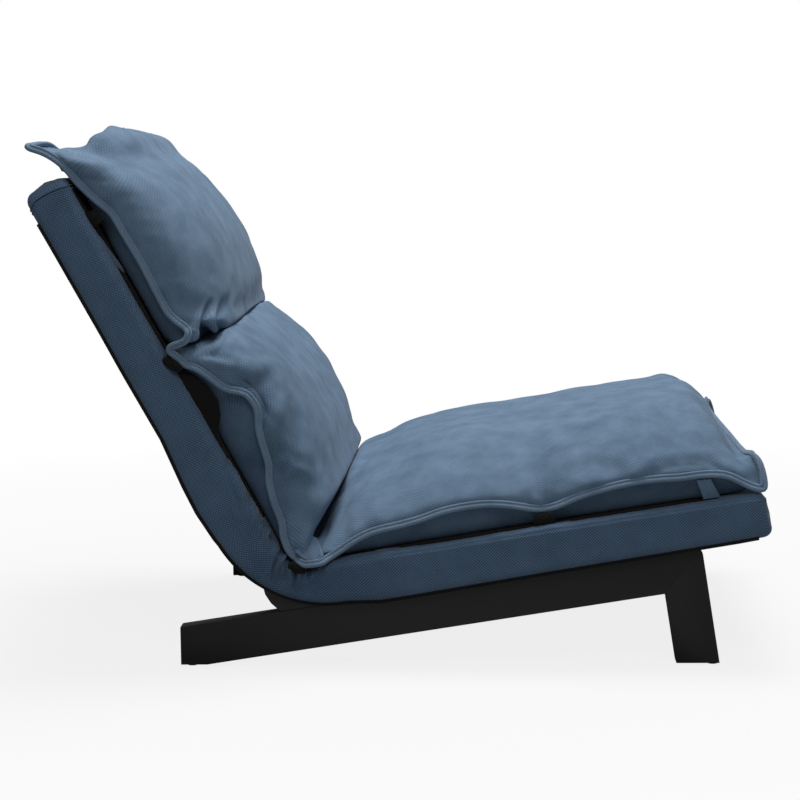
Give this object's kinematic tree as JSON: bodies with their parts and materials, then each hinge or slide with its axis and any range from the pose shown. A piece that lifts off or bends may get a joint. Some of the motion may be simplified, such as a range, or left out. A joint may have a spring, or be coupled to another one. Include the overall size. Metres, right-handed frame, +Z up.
{
  "type": "reclining floor chair",
  "caption": "Low upholstered lounge chair on black wooden side frames, with a reclining back and a loose puffy topper cushion over seat and back.",
  "frame": {"origin": "on the floor, centred under the whole chair", "axes": "+X to the chair's front, +Y to the left of someone sitting in it, +Z up"},
  "size_m": [1.0453, 0.75, 0.7742],
  "materials": {
    "black_wood": "satin near-black lacquer on hardwood",
    "beech_dowel": "raw",
    "glide_plastic": "matt",
    "zinc_steel": "zinc plated",
    "black_steel": "black powder coat",
    "spring_steel": "oil hardened",
    "grey_felt": "pressed felt",
    "cream_foam": "open-cell foam",
    "platform_cloth": "steel-blue twill",
    "topper_cloth": "steel-blue twill",
    "black_cloth": "black woven"
  },
  "bodies": {
    "base": {"rail_right": "black_wood", "rail_left": "black_wood", "front_leg_right": "black_wood", "front_leg_left": "black_wood", "corner_dowels": "beech_dowel", "rear_stretcher": "black_wood", "front_stretcher": "black_wood", "stretcher_dowels": "beech_dowel", "saddle_block_right": "black_wood", "saddle_block_left": "black_wood", "rear_glides": "glide_plastic", "front_glides": "glide_plastic", "frame_bolts": "zinc_steel", "frame_nuts": "zinc_steel", "seat_side_tubes": "black_steel", "seat_cross_tubes": "black_steel", "seat_springs": "spring_steel", "seat_spring_clips": "zinc_steel", "seat_felt": "grey_felt", "seat_foam": "cream_foam", "seat_cover": "platform_cloth", "seat_dust_cover": "black_cloth", "seat_lining": "black_cloth", "hinge_plate_right": "black_steel", "hinge_plate_left": "black_steel", "pivot_pins": "zinc_steel", "pawl_pins": "zinc_steel", "hinge_washers": "zinc_steel", "pawl_spring_right": "spring_steel", "pawl_spring_left": "spring_steel", "bend_cover": "platform_cloth", "bend_foam": "cream_foam", "seat_cushion": "topper_cloth", "seat_piping": "topper_cloth", "seat_ties": "black_cloth", "corner_straps": "topper_cloth"},
    "back": {"hinge_arm_right": "black_steel", "hinge_arm_left": "black_steel", "back_side_tubes": "black_steel", "back_cross_tubes": "black_steel", "back_springs": "spring_steel", "back_spring_clips": "zinc_steel", "back_felt": "grey_felt", "back_foam": "cream_foam", "back_cover": "platform_cloth", "back_dust_cover": "black_cloth", "back_lining": "black_cloth", "lumbar_cushion": "topper_cloth", "head_cushion": "topper_cloth", "back_piping": "topper_cloth", "back_ties": "black_cloth"},
    "pawl_left": {"pawl_left": "spring_steel"},
    "pawl_right": {"pawl_right": "spring_steel"}
  },
  "joints": [
    {"name": "back_recline", "type": "hinge", "parent": "base", "child": "back", "pos_m": [-0.17247, 0, 0.12705], "axis": [0, -1, 0], "range_deg": [0, 60], "deforming": ["bend_cover", "bend_foam"]},
    {"name": "pawl_left_lift", "type": "hinge", "parent": "base", "child": "pawl_left", "pos_m": [-0.13472, 0.323, 0.10815], "axis": [0, 1, 0], "range_deg": [0, 12], "stiffness_Nm_per_rad": 0.05, "springref_deg": -17.19, "deforming": ["pawl_spring_left"]},
    {"name": "pawl_right_lift", "type": "hinge", "parent": "base", "child": "pawl_right", "pos_m": [-0.13472, -0.323, 0.10815], "axis": [0, 1, 0], "range_deg": [0, 12], "stiffness_Nm_per_rad": 0.05, "springref_deg": -17.19, "deforming": ["pawl_spring_right"]}
  ]
}
